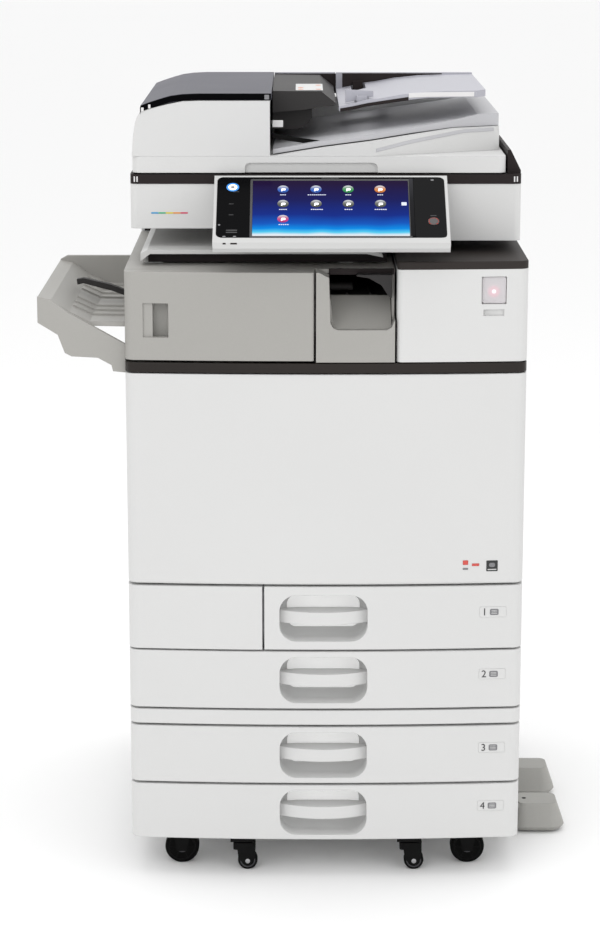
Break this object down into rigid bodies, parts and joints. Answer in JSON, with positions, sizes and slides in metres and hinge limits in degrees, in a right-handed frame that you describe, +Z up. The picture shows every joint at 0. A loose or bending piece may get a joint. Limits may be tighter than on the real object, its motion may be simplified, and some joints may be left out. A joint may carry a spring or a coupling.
{
  "type": "photocopier",
  "caption": "Floor-standing office photocopier with sheet feeder, tilting touch panel, side finisher tray, pull-out paper trays and casters.",
  "frame": {"origin": "on the floor, under the middle of the machine's overall box", "axes": "+X to the viewer's right as they face the machine, +Y from its front to its back, +Z up"},
  "size_m": [0.804, 0.72, 1.174],
  "materials": {
    "white_panel": "fine satin texture",
    "grey_panel": "fine satin texture",
    "light_grey_plastic": "satin",
    "gloss_trim": "polished",
    "taupe_plastic": "satin",
    "dark_plastic": "satin",
    "chassis_steel": "galvanised sheet",
    "rubber_black": "matt",
    "caster_black": "satin",
    "foot_grey": "satin",
    "platen_glass": "clear",
    "feeder_lid": "satin",
    "feeder_tray": "satin",
    "sheet_white": "matt",
    "roller_black": "matt",
    "display_glass": "polished",
    "window_clear": "translucent",
    "key_grey": "satin",
    "switch_white": "satin",
    "toner_plastic": "satin",
    "drum_plastic": "satin",
    "inlet_black": "satin"
  },
  "bodies": {
    "body": {"bank_cabinet": "white_panel", "main_frame": "chassis_steel", "left_cover": "white_panel", "right_cover": "white_panel", "rear_cover": "white_panel", "joint_strip": "white_panel", "lower_left_panel": "white_panel", "waist_trim": "gloss_trim", "finisher_housing": "grey_panel", "finisher_exit_cover": "grey_panel", "inner_tray": "light_grey_plastic", "paper_exit_guide": "dark_plastic", "output_tray": "grey_panel", "tower_cover": "white_panel", "tower_cap": "taupe_plastic", "stabiliser_feet": "foot_grey", "caster_brackets": "caster_black", "scanner_housing": "white_panel", "platen_frame": "dark_plastic", "platen_glass": "platen_glass", "toner_bottles": "toner_plastic", "drum_units": "drum_plastic", "fuser_unit": "chassis_steel", "power_inlet": "inlet_black"},
    "feeder": {"adf_base": "white_panel", "adf_housing": "white_panel", "adf_exit_tray": "grey_panel", "pressure_plate": "sheet_white", "feed_unit": "dark_plastic"},
    "feed_lid": {"feed_cover": "feeder_lid"},
    "sheet_tray": {"input_tray": "feeder_tray"},
    "fence_front": {"guide_front": "feeder_tray"},
    "fence_rear": {"guide_rear": "feeder_tray"},
    "panel": {"panel_housing": "white_panel", "panel_glass": "display_glass"},
    "key": {"stop_key": "key_grey"},
    "door": {"front_door": "white_panel"},
    "finisher_flap": {"finisher_door": "grey_panel"},
    "switch_lid": {"power_cover": "window_clear"},
    "switch": {"power_switch": "switch_white"},
    "side_door": {"right_door": "white_panel"},
    "bypass": {"bypass_tray": "white_panel"},
    "carriage": {"scan_carriage": "dark_plastic"},
    "feeler": {"feeler_arm": "dark_plastic"},
    "tray_1": {"tray_front_1": "white_panel", "tray_box_1": "light_grey_plastic"},
    "tray_2": {"tray_front_2": "white_panel", "tray_box_2": "light_grey_plastic"},
    "tray_3": {"tray_front_3": "white_panel", "tray_box_3": "light_grey_plastic"},
    "tray_4": {"tray_front_4": "white_panel", "tray_box_4": "light_grey_plastic"},
    "swivel_left": {"caster_fork_left": "caster_black"},
    "roller_left": {"small_wheel_left": "rubber_black"},
    "wheel_front_left": {"large_wheel_front_left": "rubber_black"},
    "wheel_rear_left": {"large_wheel_rear_left": "rubber_black"},
    "swivel_right": {"caster_fork_right": "caster_black"},
    "roller_right": {"small_wheel_right": "rubber_black"},
    "wheel_front_right": {"large_wheel_front_right": "rubber_black"},
    "wheel_rear_right": {"large_wheel_rear_right": "rubber_black"}
  },
  "joints": [
    {"name": "feeder_lift", "type": "hinge", "parent": "body", "child": "feeder", "pos_m": [0.019, 0.348, 1.068], "axis": [-1, 0, 0], "range_deg": [0, 60]},
    {"name": "feed_cover_open", "type": "hinge", "parent": "feeder", "child": "feed_lid", "pos_m": [-0.249, -0.002, 1.153], "axis": [0, -1, 0], "range_deg": [0, 70]},
    {"name": "input_tray_tilt", "type": "hinge", "parent": "feeder", "child": "sheet_tray", "pos_m": [0.043, 0.038, 1.142], "axis": [0, -1, 0], "range_deg": [0, 17]},
    {"name": "guide_front_slide", "type": "slide", "parent": "sheet_tray", "child": "fence_front", "axis": [0, 1, 0], "range_m": [0, 0.08]},
    {"name": "guide_rear_slide", "type": "slide", "parent": "sheet_tray", "child": "fence_rear", "axis": [0, 1, 0], "range_m": [-0.08, 0]},
    {"name": "panel_tilt", "type": "hinge", "parent": "body", "child": "panel", "pos_m": [0.026, -0.234, 1.018], "axis": [-1, 0, 0], "range_deg": [-8, 15]},
    {"name": "stop_key_press", "type": "slide", "parent": "panel", "child": "key", "axis": [0, 0.5547, -0.8321], "range_m": [0, 0.0015], "stiffness_N_per_m": 400, "springref_m": -0.001},
    {"name": "front_door_open", "type": "hinge", "parent": "body", "child": "door", "pos_m": [0.019, -0.319, 0.4635], "axis": [1, 0, 0], "range_deg": [0, 90]},
    {"name": "finisher_door_open", "type": "hinge", "parent": "body", "child": "finisher_flap", "pos_m": [-0.0027, -0.3189, 0.86], "axis": [0, 0, 1], "range_deg": [0, 100]},
    {"name": "tray_1_slide", "type": "slide", "parent": "body", "child": "tray_1", "axis": [0, -1, 0], "range_m": [0, 0.38]},
    {"name": "tray_2_slide", "type": "slide", "parent": "body", "child": "tray_2", "axis": [0, -1, 0], "range_m": [0, 0.38]},
    {"name": "tray_3_slide", "type": "slide", "parent": "body", "child": "tray_3", "axis": [0, -1, 0], "range_m": [0, 0.38]},
    {"name": "tray_4_slide", "type": "slide", "parent": "body", "child": "tray_4", "axis": [0, -1, 0], "range_m": [0, 0.38]},
    {"name": "power_cover_flip", "type": "hinge", "parent": "body", "child": "switch_lid", "pos_m": [0.262, -0.311, 0.917], "axis": [-1, 0, 0], "range_deg": [0, 95]},
    {"name": "power_switch_press", "type": "slide", "parent": "body", "child": "switch", "axis": [0, 1, 0], "range_m": [0, 0.003], "stiffness_N_per_m": 500, "springref_m": -0.001},
    {"name": "right_door_open", "type": "hinge", "parent": "body", "child": "side_door", "pos_m": [0.3085, 0.003, 0.294], "axis": [0, 1, 0], "range_deg": [0, 60]},
    {"name": "bypass_open", "type": "hinge", "parent": "side_door", "child": "bypass", "pos_m": [0.3105, -0.017, 0.563], "axis": [0, 1, 0], "range_deg": [0, 70]},
    {"name": "carriage_slide", "type": "slide", "parent": "body", "child": "carriage", "axis": [1, 0, 0], "range_m": [0, 0.42]},
    {"name": "feeler_swing", "type": "hinge", "parent": "body", "child": "feeler", "pos_m": [-0.28, -0.098, 0.86], "axis": [0, 1, 0], "range_deg": [0, 30]},
    {"name": "caster_swivel_left", "type": "hinge", "parent": "body", "child": "swivel_left", "pos_m": [-0.108, -0.285, 0.05], "axis": [0, 0, 1], "continuous": true},
    {"name": "caster_roll_left", "type": "hinge", "parent": "swivel_left", "child": "roller_left", "pos_m": [-0.099, -0.285, 0.015], "axis": [0, 1, 0], "continuous": true},
    {"name": "wheel_roll_front_left", "type": "hinge", "parent": "body", "child": "wheel_front_left", "pos_m": [-0.2005, -0.254, 0.026], "axis": [0, 1, 0], "continuous": true},
    {"name": "wheel_roll_rear_left", "type": "hinge", "parent": "body", "child": "wheel_rear_left", "pos_m": [-0.2005, 0.288, 0.026], "axis": [0, 1, 0], "continuous": true},
    {"name": "caster_swivel_right", "type": "hinge", "parent": "body", "child": "swivel_right", "pos_m": [0.146, -0.285, 0.05], "axis": [0, 0, 1], "continuous": true},
    {"name": "caster_roll_right", "type": "hinge", "parent": "swivel_right", "child": "roller_right", "pos_m": [0.155, -0.285, 0.015], "axis": [0, 1, 0], "continuous": true},
    {"name": "wheel_roll_front_right", "type": "hinge", "parent": "body", "child": "wheel_front_right", "pos_m": [0.2385, -0.254, 0.026], "axis": [0, 1, 0], "continuous": true},
    {"name": "wheel_roll_rear_right", "type": "hinge", "parent": "body", "child": "wheel_rear_right", "pos_m": [0.2385, 0.288, 0.026], "axis": [0, 1, 0], "continuous": true}
  ],
  "couplings": [
    {"joint": "guide_rear_slide", "follows": "guide_front_slide", "ratio": -1}
  ]
}
